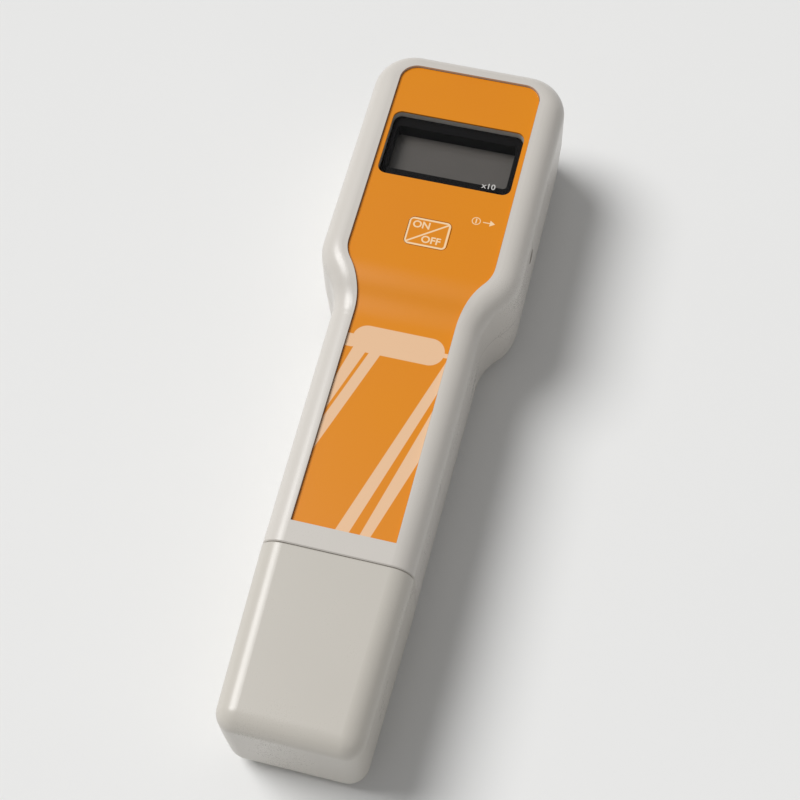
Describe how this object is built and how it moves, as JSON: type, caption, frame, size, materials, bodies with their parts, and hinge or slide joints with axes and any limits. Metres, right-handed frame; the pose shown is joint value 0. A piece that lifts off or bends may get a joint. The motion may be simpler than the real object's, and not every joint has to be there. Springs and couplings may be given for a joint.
{
  "type": "conductivity meter",
  "caption": "Handheld pen-type conductivity meter with a wide display head, a narrow battery handle, an on/off key, a side trimmer and a pull-off cap over its probe.",
  "frame": {"origin": "middle of the whole meter in plan, on the plane its back rests on", "axes": "X across the meter, +Y along it towards the display head, +Z out of its face"},
  "size_m": [0.0428, 0.1554, 0.0294],
  "materials": {
    "body_plastic": "fine moulded texture, light warm grey",
    "label_film": "printed orange film, satin",
    "clear_pane": "clear polished pane",
    "black_plastic": "black moulded plastic",
    "lcd_grey": "grey liquid-crystal glass, blank",
    "zebra_rubber": "layered contact rubber",
    "board_green": "green solder mask",
    "chip_black": "moulded epoxy",
    "capacitor_film": "dipped film capacitors",
    "plunger_white": "white moulded plunger",
    "trimmer_blue": "blue moulded trimmer",
    "brass": "turned",
    "header_white": "natural nylon",
    "battery_jacket": "plain dark steel jacket",
    "bright_steel": "bright steel",
    "lead_red": "insulated lead",
    "lead_black": "insulated lead",
    "lead_grey": "insulated lead",
    "lead_white": "insulated lead",
    "foam": "soft foam",
    "probe_plastic": "dark moulded plastic",
    "seal_rubber": "flat rubber ring"
  },
  "bodies": {
    "meter_body": {"front_shell": "body_plastic", "rear_shell": "body_plastic", "overlay_label": "label_film", "display_window": "clear_pane", "lcd_frame": "black_plastic", "lcd_glass": "lcd_grey", "zebra_strips": "zebra_rubber", "main_board": "board_green", "converter_chip": "chip_black", "amplifier_chip": "chip_black", "switching_chip": "chip_black", "board_capacitors": "capacitor_film", "board_resistors": "chip_black", "tact_switch": "black_plastic", "trimmer_body": "trimmer_blue", "lead_header": "header_white", "battery": "battery_jacket", "battery_terminals": "bright_steel", "battery_clip": "black_plastic", "clip_contacts": "bright_steel", "battery_lead_red": "lead_red", "battery_lead_black": "lead_black", "battery_pad": "foam", "probe_holder": "probe_plastic", "probe_seal": "seal_rubber", "electrode_pins": "bright_steel", "temperature_sensor": "bright_steel", "electrode_lead_left": "lead_grey", "electrode_lead_right": "lead_grey", "sensor_lead_left": "lead_white", "sensor_lead_right": "lead_white", "case_screws": "bright_steel", "board_screws": "bright_steel"},
    "cap": {"protective_cap": "body_plastic"},
    "door": {"battery_door": "body_plastic"},
    "key": {"on_off_key": "label_film"},
    "plunger": {"switch_plunger": "plunger_white"},
    "trimmer_rotor": {"trimmer_screw": "brass"}
  },
  "joints": [
    {"name": "cap_slide", "type": "slide", "parent": "meter_body", "child": "cap", "axis": [0, -1, 0], "range_m": [0, 0.04]},
    {"name": "door_hinge", "type": "hinge", "parent": "meter_body", "child": "door", "pos_m": [0, -0.03435, 0.00025], "axis": [-1, 0, 0], "range_deg": [0, 75]},
    {"name": "key_press", "type": "slide", "parent": "meter_body", "child": "key", "axis": [0, 0, -1], "range_m": [0, 0.00035], "stiffness_N_per_m": 1500},
    {"name": "plunger_press", "type": "slide", "parent": "meter_body", "child": "plunger", "axis": [0, 0, -1], "range_m": [0, 0.0004], "stiffness_N_per_m": 600},
    {"name": "trimmer_turn", "type": "hinge", "parent": "meter_body", "child": "trimmer_rotor", "pos_m": [0.017, 0.03575, 0.0208], "axis": [1, 0, 0], "continuous": true}
  ],
  "couplings": [
    {"joint": "plunger_press", "follows": "key_press", "ratio": 1}
  ]
}
